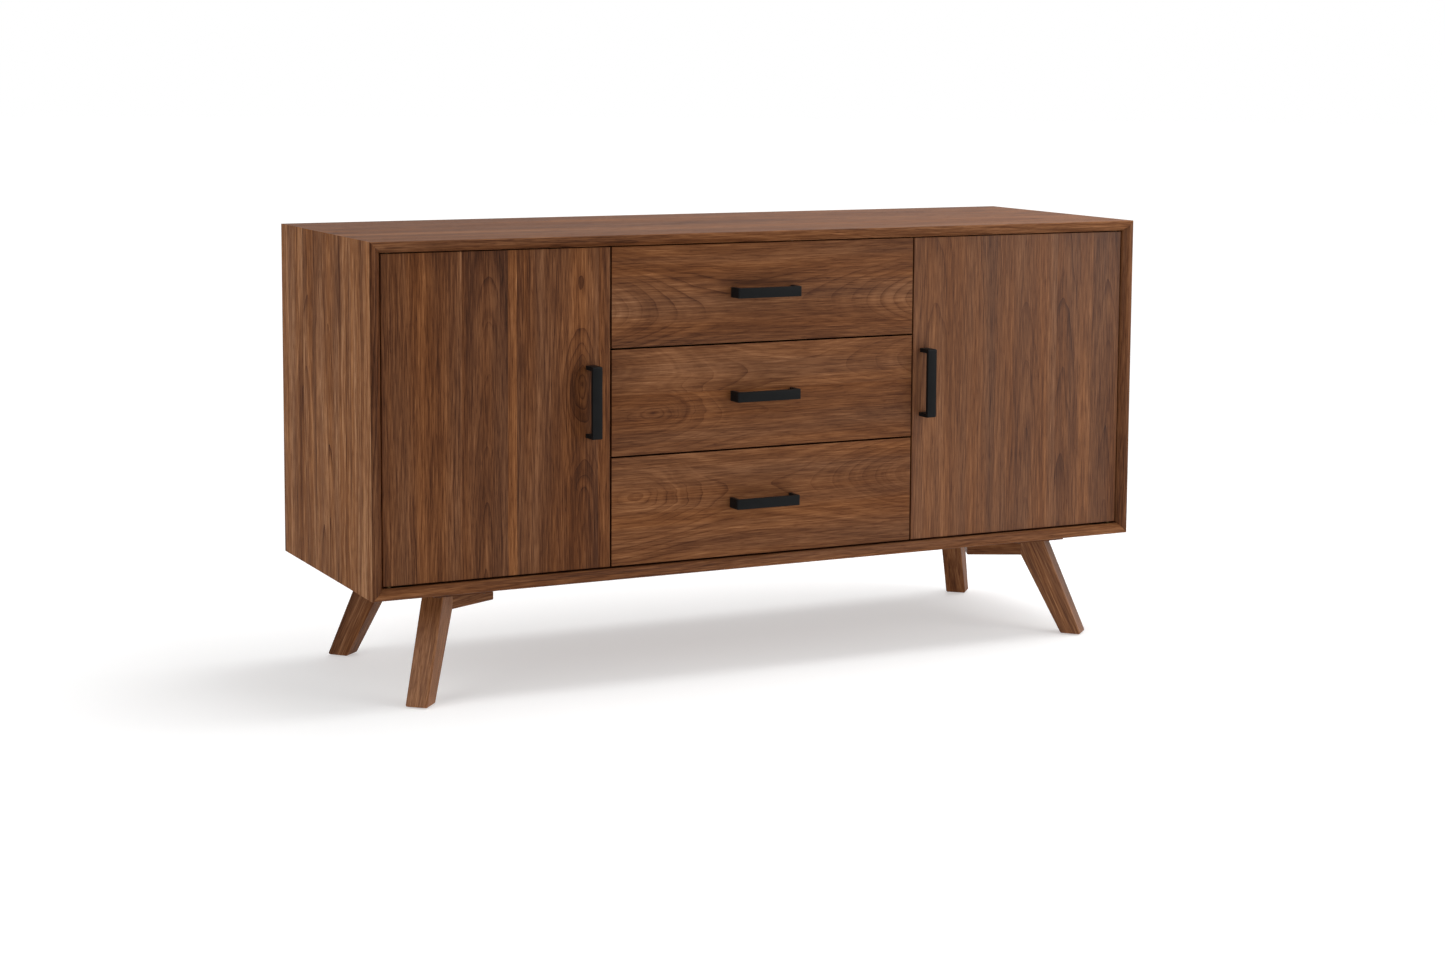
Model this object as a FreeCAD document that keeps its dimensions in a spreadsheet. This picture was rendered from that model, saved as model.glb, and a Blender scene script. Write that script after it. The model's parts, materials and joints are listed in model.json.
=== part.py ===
import FreeCAD, Part
import Sketcher
import math
import os

# A long low walnut sideboard: a mitred case on four splayed legs, with a cupboard
# at each end and three drawers between them.
# +X runs to the right, the fronts face -Y, +Z is up and the floor is z = 0.
# The origin is the middle of the footprint, pulls included.

# ---------------------------------------------------------------- sizes (mm, degrees)
SIZES = {
    # case
    "case_width": 1525, "case_depth": 500, "case_height": 604, "leg_height": 196,
    "board": 19, "mouth_bevel": 8, "arris": 1,
    "rabbet_depth": 10, "rabbet_width": 9, "back_board": 9, "back_play": 0.5,
    # the fronts and the two partitions behind their joints
    "front_recess": 11, "front_board": 20, "front_gap": 3, "gap_over": 2, "gap_under": 3.5,
    "partition_left": -323, "partition_right": 283, "partition_play": 1,
    "drawer_line_low": 411, "drawer_line_high": 601,
    # adjustable shelves on pins
    "shelf_board": 16, "shelf_height": 498, "shelf_play": 1.5, "shelf_setback": 30,
    "pin_radius": 2.5, "pin_shelf": 8, "pin_sunk": 8, "pin_inset": 50,
    # bent bar pulls
    "pull_length": 126, "pull_width": 18, "pull_reach": 31, "pull_bar": 7, "pull_bend": 3,
    "pull_edge": 0.8, "pull_in_left": 37, "pull_in_right": 23, "door_pull_height": 512,
    "drawer_pull_x": -28, "drawer_pull_lift": 1.5, "pull_screw": 2, "pull_screw_play": 0.3,
    "screw_head": 4, "screw_head_height": 2.5, "screw_bite": 12,
    # knife hinges
    "pivot_in": 12, "pivot_back": 8, "pivot_pin": 2.45, "pivot_bore": 2.5, "pivot_collar": 4.5,
    "leaf_reach": 42, "leaf_width": 12, "leaf_thick": 2.5, "collar_play": 0.3,
    # magnetic catches
    "catch_long": 46, "catch_deep": 14, "catch_high": 13, "catch_in": 40,
    # drawer boxes
    "box_side": 12, "box_height": 120, "box_long": 420, "box_lift": 24,
    "box_bottom": 6, "groove": 5, "groove_lift": 10,
    # ball bearing slides
    "slide_long": 400, "slide_wide": 12.7, "slide_high": 45, "slide_skin": 1.2,
    "slide_setback": 3, "slide_axis_lift": 56,
    "mid_in": 1.8, "mid_out": 11, "mid_high": 35, "inner_in": 4.2, "inner_high": 25,
    # legs: a raked diagonal board, a brace mitred to its knee and a plate on top
    "foot_x": 667, "foot_y": 213, "leg_turn": 48, "leg_board": 40, "foot_long": 40,
    "rake_out": 0.431, "rake_in": 0.547, "knee_height": 149, "leg_edge": 3,
    "arm_turn": 25.6, "arm_long": 104, "arm_edge": 2,
    "plate_x": 587, "plate_y": 160, "plate_long": 106, "plate_thick": 10,
    "glide_radius": 9, "glide_thick": 2, "pocket_radius": 2.75, "pocket_angle": 20,
    "pocket_deep": 30, "pocket_drop": 19, "pocket_along_left": 30, "pocket_along_right": 49,
    "wood_screw": 2, "wood_head": 4.2, "wood_head_height": 2.2, "plate_screw_in": 12,
    "plate_screw_bite": 14,
}

DRAWERS = {                         # name: (lower edge, upper edge) of its opening
    "top": ("drawer_line_high + front_gap / 2", "TOP_MOUTH - gap_over"),
    "middle": ("drawer_line_low + front_gap / 2", "drawer_line_high - front_gap / 2"),
    "bottom": ("BOTTOM_MOUTH + gap_under", "drawer_line_low - front_gap / 2"),
}

# Places worked out from the sizes. Each name stands for its text in a formula.
PLACES = {
    "FRONT": "(pull_reach - front_recess - case_depth) / 2",
    "REAR": "(pull_reach - front_recess + case_depth) / 2",
    "FRONT_FACE": "(FRONT + front_recess)",
    "FRONT_BACK": "(FRONT_FACE + front_board)",
    "BACK_FACE": "(REAR - rabbet_depth)",
    "TOP": "(leg_height + case_height)",
    "TOP_MOUTH": "(TOP - board)",
    "BOTTOM_MOUTH": "(leg_height + board)",
    "INSIDE": "(case_width / 2 - board)",
    "BAY_LEFT": "(partition_left + board / 2)",
    "BAY_RIGHT": "(partition_right - board / 2)",
    "LEG_TOP": "(leg_height - plate_thick)",
    "CASE_Y": "((FRONT + REAR) / 2)",
}

document = FreeCAD.newDocument("Sideboard")
sheet = document.addObject("Spreadsheet::Sheet", "Sizes")
for row, (alias, number) in enumerate(SIZES.items(), start=1):
    sheet.set("A%d" % row, alias)
    sheet.set("B%d" % row, str(number))
    sheet.setAlias("B%d" % row, alias)
document.recompute()

subparts = []                       # every finished piece, in the order it is made


# ---------------------------------------------------------------- shared ways of working
def formula(text):
    """A formula in plain size names, written out for the spreadsheet."""
    written = []
    word = ""
    for letter in text + " ":
        if letter.isalpha() or letter == "_":
            word += letter
            continue
        if word in PLACES:
            word = "(" + formula(PLACES[word]) + ")"
        elif word in SIZES:
            word = "Sizes." + word
        written += [word, letter]
        word = ""
    return "".join(written).strip()


def bind(thing, **formulas):
    """Tie properties to the sheet. A double underscore stands for a dot."""
    for name, text in formulas.items():
        thing.setExpression(name.replace("__", "."), formula(text))


def place(thing, x="0", y="0", z="0", axis=None, turn="0"):
    """Tie a piece's place to the sheet, turned about one axis."""
    bind(thing, Placement__Base__x=x, Placement__Base__y=y, Placement__Base__z=z)
    if axis:
        thing.Placement = FreeCAD.Placement(FreeCAD.Vector(), FreeCAD.Rotation(axis, 1))
        bind(thing, Placement__Rotation__Angle=turn)


def finished(thing, label):
    """Name a finished piece and keep it for export."""
    thing.Label = label
    subparts.append(thing)
    return thing


def box(name, size, corner):
    """A plain rectangular block: its three sizes and its lowest corner."""
    block = document.addObject("Part::Box", name)
    bind(block, Length=size[0], Width=size[1], Height=size[2])
    place(block, *corner)
    return block


def rod(name, radius, length, x, y, z, axis=None, turn="0"):
    """A round rod, upright unless it is turned about an axis."""
    bar = document.addObject("Part::Cylinder", name)
    bind(bar, Radius=radius, Height=length)
    place(bar, x, y, z, axis, turn)
    return bar


def joined(name, things):
    fuse = document.addObject("Part::MultiFuse", name)
    fuse.Shapes = things
    return fuse


def group(name, things):
    """Separate solids of one kind, kept together."""
    bundle = document.addObject("Part::Compound", name)
    bundle.Links = things
    return bundle


def cut(name, base, tools):
    """The base piece with the tools' shapes taken out of it."""
    result = document.addObject("Part::Cut", name)
    result.Base = base
    result.Tool = tools[0] if len(tools) == 1 else group(name + "_tools", tools)
    return result


def polygon(body, name, plane, corners):
    """A closed sketch on one of the body's own planes, each corner tied to the sheet."""
    sketch = body.newObject("Sketcher::SketchObject", name)
    origin = [item for item in body.Origin.OriginFeatures if item.Role == plane][0]
    sketch.AttachmentSupport = [(origin, "")]
    sketch.MapMode = "FlatFace"
    count = len(corners)
    step = 2 * math.pi / count
    start = [FreeCAD.Vector(math.cos(i * step), math.sin(i * step), 0) * 50 for i in range(count)]
    for i in range(count):
        sketch.addGeometry(Part.LineSegment(start[i], start[(i + 1) % count]))
    for i in range(count):
        sketch.addConstraint(Sketcher.Constraint("Coincident", i, 2, (i + 1) % count, 1))
    for i, corner in enumerate(corners):
        for kind, text in zip(("DistanceX", "DistanceY"), corner):
            number = sketch.addConstraint(Sketcher.Constraint(kind, -1, 1, i, 1, 1.0))
            sketch.setExpression("Constraints[%d]" % number, formula(text))
    return sketch


def pad(body, sketch, length, symmetric=False, backwards=False):
    feature = body.newObject("PartDesign::Pad", sketch.Name + "_pad")
    feature.Profile = sketch
    feature.Reversed = backwards
    if symmetric:
        feature.SideType = "Symmetric"
    bind(feature, Length=length)
    document.recompute()
    return feature


def pocket(body, sketch):
    """Cut a sketch right through the body, both ways, and be sure that it cut."""
    before = body.Shape.Volume
    feature = body.newObject("PartDesign::Pocket", sketch.Name + "_pocket")
    feature.Profile = sketch
    feature.Type = "ThroughAll"
    feature.SideType = "Symmetric"
    document.recompute()
    if body.Shape.Volume >= before:
        raise RuntimeError(sketch.Name + " cuts nothing")
    return feature


def round_edges(body, base, radius, wanted):
    """Fillet the edges of the base feature that pass a test on their two ends."""
    names = []
    for number, edge in enumerate(base.Shape.Edges, start=1):
        ends = [vertex.Point for vertex in edge.Vertexes]
        if len(ends) == 2 and wanted(ends[0], ends[1]):
            names.append("Edge%d" % number)
    feature = body.newObject("PartDesign::Fillet", body.Name + "_fillet")
    feature.Base = (base, names)
    bind(feature, Radius=radius)
    document.recompute()
    return feature


# ---------------------------------------------------------------- case
def mitred_board(name, length, x, z, turn):
    """One side of the case: bevelled round the mouth, rabbeted behind, mitred at both ends.

    Its outer face is the plane z = 0 of its own body, which is turned about Y into place.
    """
    body = document.addObject("PartDesign::Body", name)
    profile = polygon(body, name + "_profile", "YZ_Plane", [
        ("FRONT", "0"),
        ("REAR", "0"),
        ("REAR", "rabbet_width - board"),
        ("BACK_FACE", "rabbet_width - board"),
        ("BACK_FACE", "-board"),
        ("FRONT + mouth_bevel", "-board"),
        ("FRONT", "mouth_bevel - board"),
    ])
    solid = pad(body, profile, length, symmetric=True)
    front = solid.Shape.BoundBox.YMin

    def is_front_arris(a, b):
        return all(abs(p.y - front) < 0.01 and abs(p.z) < 0.01 for p in (a, b))

    round_edges(body, solid, "arris", is_front_arris)
    for side, sign in (("start", "-1"), ("end", "1")):
        mitre = polygon(body, name + "_mitre_" + side, "XZ_Plane", [
            (sign + " * ((%s) / 2 + 2)" % length, "2"),
            (sign + " * ((%s) / 2 - board - 2)" % length, "-board - 2"),
            (sign + " * ((%s) / 2 + 2)" % length, "-board - 2"),
        ])
        pocket(body, mitre)
    place(body, x, "0", z, FreeCAD.Vector(0, 1, 0), turn)
    return body


MIDDLE = "(leg_height + case_height / 2)"
top_blank = mitred_board("top_board", "case_width", "0", "TOP", "0")
bottom_blank = mitred_board("bottom_board", "case_width", "0", "leg_height", "180")
finished(mitred_board("left_board", "case_height", "-case_width / 2", MIDDLE, "-90"),
         "side_panel_left")
finished(mitred_board("right_board", "case_height", "case_width / 2", MIDDLE, "90"),
         "side_panel_right")

finished(box("back", ("case_width - 2 * (board - rabbet_width + back_play)", "back_board",
                      "case_height - 2 * (board - rabbet_width + back_play)"),
             ("-case_width / 2 + board - rabbet_width + back_play", "BACK_FACE",
              "leg_height + board - rabbet_width + back_play")), "back_panel")

for side in ("left", "right"):
    finished(box("partition_" + side,
                 ("board", "BACK_FACE - FRONT_BACK - partition_play", "TOP_MOUTH - BOTTOM_MOUTH"),
                 ("partition_%s - board / 2" % side, "FRONT_BACK + partition_play",
                  "BOTTOM_MOUTH")), "partition_" + side)

# ---------------------------------------------------------------- shelves and their pins
CUPBOARDS = {                       # side: (left wall, right wall)
    "left": ("-INSIDE", "partition_left - board / 2"),
    "right": ("partition_right + board / 2", "INSIDE"),
}
SHELF_FRONT = "(FRONT_BACK + shelf_setback)"
SHELF_REAR = "(BACK_FACE - 2 * shelf_play)"
pins = []
for side, (wall_left, wall_right) in CUPBOARDS.items():
    finished(box("shelf_" + side,
                 ("%s - (%s) - 2 * shelf_play" % (wall_right, wall_left),
                  SHELF_REAR + " - " + SHELF_FRONT, "shelf_board"),
                 (wall_left + " + shelf_play", SHELF_FRONT, "shelf_height")), "shelf_" + side)
    for wall, sign in ((wall_left, "-1"), (wall_right, "1")):
        for end, y in (("front", SHELF_FRONT + " + pin_inset"), ("rear", SHELF_REAR + " - pin_inset")):
            start = wall + (" - pin_sunk" if sign == "-1" else " - pin_shelf")
            pins.append(rod("pin_%s_%s_%d" % (side, end, len(pins)), "pin_radius",
                            "pin_sunk + pin_shelf", start, y, "shelf_height - pin_radius",
                            FreeCAD.Vector(0, 1, 0), "90"))
finished(group("pins", pins), "shelf_pins")


# ---------------------------------------------------------------- door and drawer fronts
def front_panel(name, left, right, low, high):
    """A solid front with softened edges. Its own origin is the middle of its outer face."""
    body = document.addObject("PartDesign::Body", name)
    width = "((%s) - (%s))" % (right, left)
    height = "((%s) - (%s))" % (high, low)
    outline = polygon(body, name + "_outline", "XZ_Plane", [
        ("-%s / 2" % width, "-%s / 2" % height), ("%s / 2" % width, "-%s / 2" % height),
        ("%s / 2" % width, "%s / 2" % height), ("-%s / 2" % width, "%s / 2" % height),
    ])
    solid = pad(body, outline, "front_board", backwards=True)
    round_edges(body, solid, "arris", lambda a, b: abs(a.y) < 0.01 and abs(b.y) < 0.01)
    place(body, "(%s + (%s)) / 2" % (left, right), "FRONT_FACE", "(%s + (%s)) / 2" % (low, high))
    return body


def bar_pull(name, x, z, upright):
    """A flat bar bent into a U, seen from above: two feet on the front, a bar in front."""
    body = document.addObject("PartDesign::Body", name)
    profile = polygon(body, name + "_profile", "XY_Plane", [
        ("-pull_length / 2", "0"), ("-pull_length / 2", "-pull_reach"),
        ("pull_length / 2", "-pull_reach"), ("pull_length / 2", "0"),
        ("pull_length / 2 - pull_bar", "0"),
        ("pull_length / 2 - pull_bar", "pull_bar - pull_reach"),
        ("pull_bar - pull_length / 2", "pull_bar - pull_reach"),
        ("pull_bar - pull_length / 2", "0"),
    ])
    solid = pad(body, profile, "pull_width", symmetric=True)
    reach = SIZES["pull_reach"]
    bend = round_edges(body, solid, "pull_bend", lambda a, b: (
        abs(a.y + reach) < 0.01 and abs(b.y + reach) < 0.01 and abs(a.x - b.x) < 0.01))
    round_edges(body, bend, "pull_edge", lambda a, b: (
        abs(a.z - b.z) < 0.01 and abs(a.y + b.y) > 0.01))
    place(body, x, "FRONT_FACE", z, FreeCAD.Vector(0, 1, 0), "90" if upright else "0")
    return body


def pull_screws(name, x, z, upright):
    """Two screws from inside the front into the pull's feet."""
    screws = []
    offset = "(pull_length - pull_bar) / 2"
    for number, sign in enumerate(("-1", "1")):
        at_x = x if upright else "%s + %s * %s" % (x, sign, offset)
        at_z = "%s + %s * %s" % (z, sign, offset) if upright else z
        about_x = FreeCAD.Vector(1, 0, 0)
        shank = rod("%s_shank_%d" % (name, number), "pull_screw", "front_board + screw_bite",
                    at_x, "FRONT_BACK", at_z, about_x, "90")
        head = rod("%s_head_%d" % (name, number), "screw_head", "screw_head_height",
                   at_x, "FRONT_BACK + screw_head_height", at_z, about_x, "90")
        screws.append(joined("%s_screw_%d" % (name, number), [shank, head]))
    return group(name, screws)


def screw_holes(name, x, z, upright):
    """Clearance holes through a front for the two screws of its pull."""
    offset = "(pull_length - pull_bar) / 2"
    holes = []
    for number, sign in enumerate(("-1", "1")):
        at_x = x if upright else "%s + %s * %s" % (x, sign, offset)
        at_z = "%s + %s * %s" % (z, sign, offset) if upright else z
        holes.append(rod("%s_hole_%d" % (name, number), "pull_screw + pull_screw_play",
                         "front_board + 4", at_x, "FRONT_BACK + 2", at_z,
                         FreeCAD.Vector(1, 0, 0), "90"))
    return holes


# ---------------------------------------------------------------- knife hinges
def hinge_leaf(name, pivot_x, inward, low, hole=False):
    """A flat brass leaf with one round end on the pivot. inward is 1 or -1 along X."""
    start = pivot_x if inward == "1" else pivot_x + " - leaf_reach"
    pivot_y = "FRONT_FACE + pivot_back"
    blank = joined(name + "_blank", [
        box(name + "_bar", ("leaf_reach", "leaf_width", "leaf_thick"),
            (start, pivot_y + " - leaf_width / 2", low)),
        rod(name + "_eye", "leaf_width / 2", "leaf_thick", pivot_x, pivot_y, low),
    ])
    if not hole:
        return blank
    bore = rod(name + "_bore", "pivot_bore", "leaf_thick + 2", pivot_x, pivot_y, low + " - 1")
    return cut(name, blank, [bore])


DOORS = {                           # side: (left edge, right edge, pivot x, way inward)
    "left": ("-INSIDE + front_gap", "partition_left - front_gap / 2",
             "-INSIDE + front_gap + pivot_in", "1"),
    "right": ("partition_right + front_gap / 2", "INSIDE - front_gap",
              "INSIDE - front_gap - pivot_in", "-1"),
}
DOOR_LOW = "BOTTOM_MOUTH + gap_under"
DOOR_HIGH = "TOP_MOUTH - gap_over"
case_leaves = []
mortises = {"top": [], "bottom": []}
for side, (left, right, pivot_x, inward) in DOORS.items():
    pivot_y = "FRONT_FACE + pivot_back"
    door_leaves = []
    for end in ("top", "bottom"):
        name = "hinge_%s_%s" % (side, end)
        if end == "top":
            case_low, door_low = "TOP_MOUTH", DOOR_HIGH + " - leaf_thick"
            pin_low = door_low
            collar_low = DOOR_HIGH + " + collar_play"
            gap = "gap_over"
        else:
            case_low, door_low = "BOTTOM_MOUTH - leaf_thick", DOOR_LOW
            pin_low = "BOTTOM_MOUTH"
            collar_low = "BOTTOM_MOUTH"
            gap = "gap_under"
        leaf = hinge_leaf(name + "_case", pivot_x, inward, case_low)
        pin = rod(name + "_pin", "pivot_pin", "%s + leaf_thick" % gap, pivot_x, pivot_y, pin_low)
        collar = rod(name + "_collar", "pivot_collar", "%s - collar_play" % gap,
                     pivot_x, pivot_y, collar_low)
        case_leaves.append(joined(name + "_case_leaf", [leaf, pin, collar]))
        mortises[end].append(leaf)
        door_leaves.append(hinge_leaf(name + "_door", pivot_x, inward, door_low, hole=True))
    pull_x = right + " - pull_in_left" if side == "left" else left + " + pull_in_right"
    blank = front_panel("door_blank_" + side, left, right, DOOR_LOW, DOOR_HIGH)
    leaf_room = [hinge_leaf("leaf_room_%s_%s" % (side, end), pivot_x, inward, low)
                 for end, low in (("top", DOOR_HIGH + " - leaf_thick"), ("bottom", DOOR_LOW))]
    holes = screw_holes("door_" + side, pull_x, "door_pull_height", True)
    finished(cut("door_%s_cut" % side, blank, leaf_room + holes), "door_" + side)
    finished(group("door_leaves_" + side, door_leaves), "hinge_leaves_door_" + side)
    finished(bar_pull("pull_%s" % side, pull_x, "door_pull_height", True), "pull_door_" + side)
    finished(pull_screws("screws_%s" % side, pull_x, "door_pull_height", True),
             "pull_screws_door_" + side)
finished(group("case_leaf_group", case_leaves), "hinge_leaves_case")
finished(cut("top_cut", top_blank, mortises["top"]), "top_panel")
finished(cut("bottom_cut", bottom_blank, mortises["bottom"]), "bottom_panel")

# One magnetic catch over each door's free edge, screwed up into the top.
catches = []
for side, x in (("left", "partition_left - board / 2 - catch_in - catch_long"),
                ("right", "partition_right + board / 2 + catch_in")):
    catches.append(box("catch_" + side, ("catch_long", "catch_deep", "catch_high"),
                       (x, "FRONT_BACK + partition_play", "TOP_MOUTH - catch_high")))
finished(group("catches", catches), "magnetic_catches")


# ---------------------------------------------------------------- drawers and slides
def channel(name, inner, outer, height, wall, inward, y, middle, web_out):
    """A straight steel channel along Y: two flanges and a web near or away from the wall.

    inner and outer are distances from the partition; inward is 1 or -1 along X.
    """
    body = document.addObject("PartDesign::Body", name)
    web, lip = (outer, inner) if web_out else (inner, outer)
    skin = "-slide_skin" if web_out else "slide_skin"
    half = "%s / 2" % height
    profile = polygon(body, name + "_profile", "XZ_Plane", [
        ("%s * (%s)" % (inward, web), "-" + half),
        ("%s * (%s)" % (inward, lip), "-" + half),
        ("%s * (%s)" % (inward, lip), "slide_skin - " + half),
        ("%s * (%s + %s)" % (inward, web, skin), "slide_skin - " + half),
        ("%s * (%s + %s)" % (inward, web, skin), half + " - slide_skin"),
        ("%s * (%s)" % (inward, lip), half + " - slide_skin"),
        ("%s * (%s)" % (inward, lip), half),
        ("%s * (%s)" % (inward, web), half),
    ])
    pad(body, profile, "slide_long", backwards=True)
    place(body, wall, y, middle)
    return body


BOX_LEFT = "(BAY_LEFT + slide_wide)"
BOX_RIGHT = "(BAY_RIGHT - slide_wide)"
case_members = []
for name, (low, high) in DRAWERS.items():
    # The front carries the groove for the bottom and the holes for the pull.
    box_low = "(%s + box_lift)" % low
    bottom_low = "(%s + groove_lift)" % box_low
    pull_z = "((%s) + (%s)) / 2 + drawer_pull_lift" % (low, high)
    blank = front_panel("front_blank_" + name, "partition_left + front_gap / 2",
                        "partition_right - front_gap / 2", low, high)
    bottom = box("box_bottom_" + name,
                 (BOX_RIGHT + " - " + BOX_LEFT + " - 2 * (box_side - groove)",
                  "box_long + groove", "box_bottom"),
                 (BOX_LEFT + " + box_side - groove", "FRONT_BACK - groove", bottom_low))
    holes = screw_holes("front_" + name, "drawer_pull_x", pull_z, False)
    finished(cut("front_cut_" + name, blank, [bottom] + holes), "drawer_front_" + name)
    finished(bottom, "drawer_bottom_" + name)
    for side, x in (("left", BOX_LEFT), ("right", BOX_RIGHT + " - box_side")):
        board = box("side_blank_%s_%s" % (name, side), ("box_side", "box_long", "box_height"),
                    (x, "FRONT_BACK", box_low))
        finished(cut("side_cut_%s_%s" % (name, side), board, [bottom]),
                 "drawer_side_%s_%s" % (side, name))
    finished(box("box_back_" + name,
                 (BOX_RIGHT + " - " + BOX_LEFT + " - 2 * box_side", "box_side",
                  "box_height - groove_lift - box_bottom"),
                 (BOX_LEFT + " + box_side", "FRONT_BACK + box_long - box_side",
                  bottom_low + " + box_bottom")), "drawer_back_" + name)
    finished(bar_pull("pull_" + name, "drawer_pull_x", pull_z, False), "pull_drawer_" + name)
    finished(pull_screws("screws_" + name, "drawer_pull_x", pull_z, False),
             "pull_screws_drawer_" + name)
    # A pair of three-part slides, one each side of the box.
    middle_z = "%s + slide_axis_lift" % box_low
    middle_members = []
    drawer_members = []
    for side, wall, inward in (("left", "BAY_LEFT", "1"), ("right", "BAY_RIGHT", "-1")):
        start = "FRONT_BACK + slide_setback"
        case_members.append(channel("slide_case_%s_%s" % (name, side), "0",
                                    "slide_wide - slide_skin / 2", "slide_high",
                                    wall, inward, start, middle_z, False))
        middle_members.append(channel("slide_middle_%s_%s" % (name, side), "mid_in", "mid_out",
                                      "mid_high", wall, inward, start, middle_z, False))
        drawer_members.append(channel("slide_drawer_%s_%s" % (name, side), "inner_in",
                                      "slide_wide", "inner_high",
                                      wall, inward, start, middle_z, True))
    finished(group("slide_middles_" + name, middle_members), "slide_middle_" + name)
    finished(group("slide_drawers_" + name, drawer_members), "slide_drawer_" + name)
finished(group("slide_cases", case_members), "slides_on_partitions")


# ---------------------------------------------------------------- legs
LEGS = {                            # corner: the signs of its X and Y
    "front_left": (-1, -1), "front_right": (1, -1),
    "back_left": (-1, 1), "back_right": (1, 1),
}
KNEE = "(-foot_long / 2 - rake_in * knee_height)"        # along the board, from the foot
UPRIGHT = FreeCAD.Vector(0, 0, 1)


def case_point(way_x, way_y, x, y):
    """The same point of one corner of the case, mirrored to any of the four."""
    return "%d * (%s)" % (way_x, x), "CASE_Y + %d * (%s)" % (way_y, y)


def outward(way_x, way_y, turn):
    """The heading from the middle of the case to a corner, turned from the long side."""
    return "%d + %d * (%s)" % (90 - 90 * way_x, way_x * way_y, turn)


def leg_board(corner, way_x, way_y):
    """The raked board. Its own +X points outward and its foot is over its own origin."""
    body = document.addObject("PartDesign::Body", "leg_body_" + corner)
    outline = polygon(body, "leg_outline_" + corner, "XZ_Plane", [
        ("foot_long / 2", "glide_thick"),
        ("foot_long / 2 - rake_out * LEG_TOP", "LEG_TOP"),
        (KNEE, "LEG_TOP"),
        (KNEE, "knee_height"),
        ("-foot_long / 2", "glide_thick"),
    ])
    solid = pad(body, outline, "leg_board", symmetric=True)
    half = SIZES["leg_board"] / 2
    knee = SIZES["knee_height"]
    foot = SIZES["glide_thick"]

    def is_soft_edge(a, b):
        raked = abs(a.z - b.z) > 1 and min(a.z, b.z) < knee - 1 and abs(abs(a.y) - half) < 0.01
        return raked or max(a.z, b.z) < foot + 0.1

    round_edges(body, solid, "leg_edge", is_soft_edge)
    foot_x, foot_y = case_point(way_x, way_y, "foot_x", "foot_y")
    place(body, foot_x, foot_y, "0", UPRIGHT, outward(way_x, way_y, "leg_turn"))
    return body


def leg_arm(corner, way_x, way_y, plate):
    """The brace: mitred to the board's upright inner face, notched round the plate."""
    body = document.addObject("PartDesign::Body", "arm_body_" + corner)
    hand = way_x * way_y
    bend = "(leg_turn - arm_turn)"
    thick = "%d * leg_board * cos(%s)" % (hand, bend)
    plan = polygon(body, "arm_plan_" + corner, "XY_Plane", [
        ("0", "0"),
        ("arm_long", "0"),
        ("arm_long", thick),
        ("-leg_board * sin(%s)" % bend, thick),
    ])
    bar = pad(body, plan, "leg_height - knee_height")
    far = SIZES["arm_long"]

    def is_soft_edge(a, b):
        lower_long_edge = max(a.z, b.z) < 0.01 and abs(a.y - b.y) < 0.01
        at_far_end = min(a.x, b.x) > far - 0.01 and min(a.z, b.z) < 0.01
        return lower_long_edge or at_far_end

    round_edges(body, bar, "arm_edge", is_soft_edge)
    corner_x, corner_y = case_point(
        way_x, way_y,
        "foot_x + %s * cos(leg_turn) - leg_board / 2 * sin(leg_turn)" % KNEE,
        "foot_y + %s * sin(leg_turn) + leg_board / 2 * cos(leg_turn)" % KNEE)
    heading = "(180 + %s)" % outward(way_x, way_y, "arm_turn")
    place(body, corner_x, corner_y, "knee_height", UPRIGHT, heading)

    # A pocket hole for the screw into the board slants back along the outer face.
    reach = "pocket_along_right" if way_x > 0 else "pocket_along_left"
    bore = document.addObject("Part::Cylinder", "pocket_bore_" + corner)
    bind(bore, Radius="pocket_radius", Height="pocket_deep")
    bore.Placement.Rotation = FreeCAD.Rotation(FreeCAD.Vector(0, 1, 0), 90)
    hole = group("pocket_" + corner, [bore])
    place(hole, "%s + %s * cos(%s)" % (corner_x, reach, heading),
          "%s + %s * sin(%s)" % (corner_y, reach, heading), "leg_height - pocket_drop",
          UPRIGHT, "%s + 180 - %d * pocket_angle" % (heading, hand))
    return cut("arm_cut_" + corner, body, [plate, hole])


def plate_screws(corner, way_x, way_y):
    """Three screws hold a plate up to the bottom panel. The brace covers its fourth corner."""
    made = []
    out = "(plate_long / 2 - plate_screw_in)"
    for dx, dy in ((1, 1), (1, -1), (-1, 1)):
        x, y = case_point(way_x, way_y, "plate_x + %d * %s" % (dx, out),
                          "plate_y + %d * %s" % (dy, out))
        name = "plate_screw_%s_%d" % (corner, len(made))
        shank = rod(name + "_shank", "wood_screw", "plate_thick + plate_screw_bite",
                    x, y, "LEG_TOP")
        head = rod(name + "_head", "wood_head", "wood_head_height",
                   x, y, "LEG_TOP - wood_head_height")
        made.append(joined(name, [shank, head]))
    return made


plates = []
glides = []
screws = []
for corner, (way_x, way_y) in LEGS.items():
    plate_x, plate_y = case_point(way_x, way_y, "plate_x", "plate_y")
    plates.append(box("plate_" + corner, ("plate_long", "plate_long", "plate_thick"),
                      (plate_x + " - plate_long / 2", plate_y + " - plate_long / 2", "LEG_TOP")))
    foot_x, foot_y = case_point(way_x, way_y, "foot_x", "foot_y")
    glides.append(rod("glide_" + corner, "glide_radius", "glide_thick", foot_x, foot_y, "0"))
    screws += plate_screws(corner, way_x, way_y)
    finished(leg_board(corner, way_x, way_y), "leg_" + corner)
    finished(leg_arm(corner, way_x, way_y, plates[-1]), "leg_arm_" + corner)
finished(group("plates", plates), "leg_plates")
finished(group("glides", glides), "foot_glides")
finished(group("plate_screws", screws), "leg_plate_screws")

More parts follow.
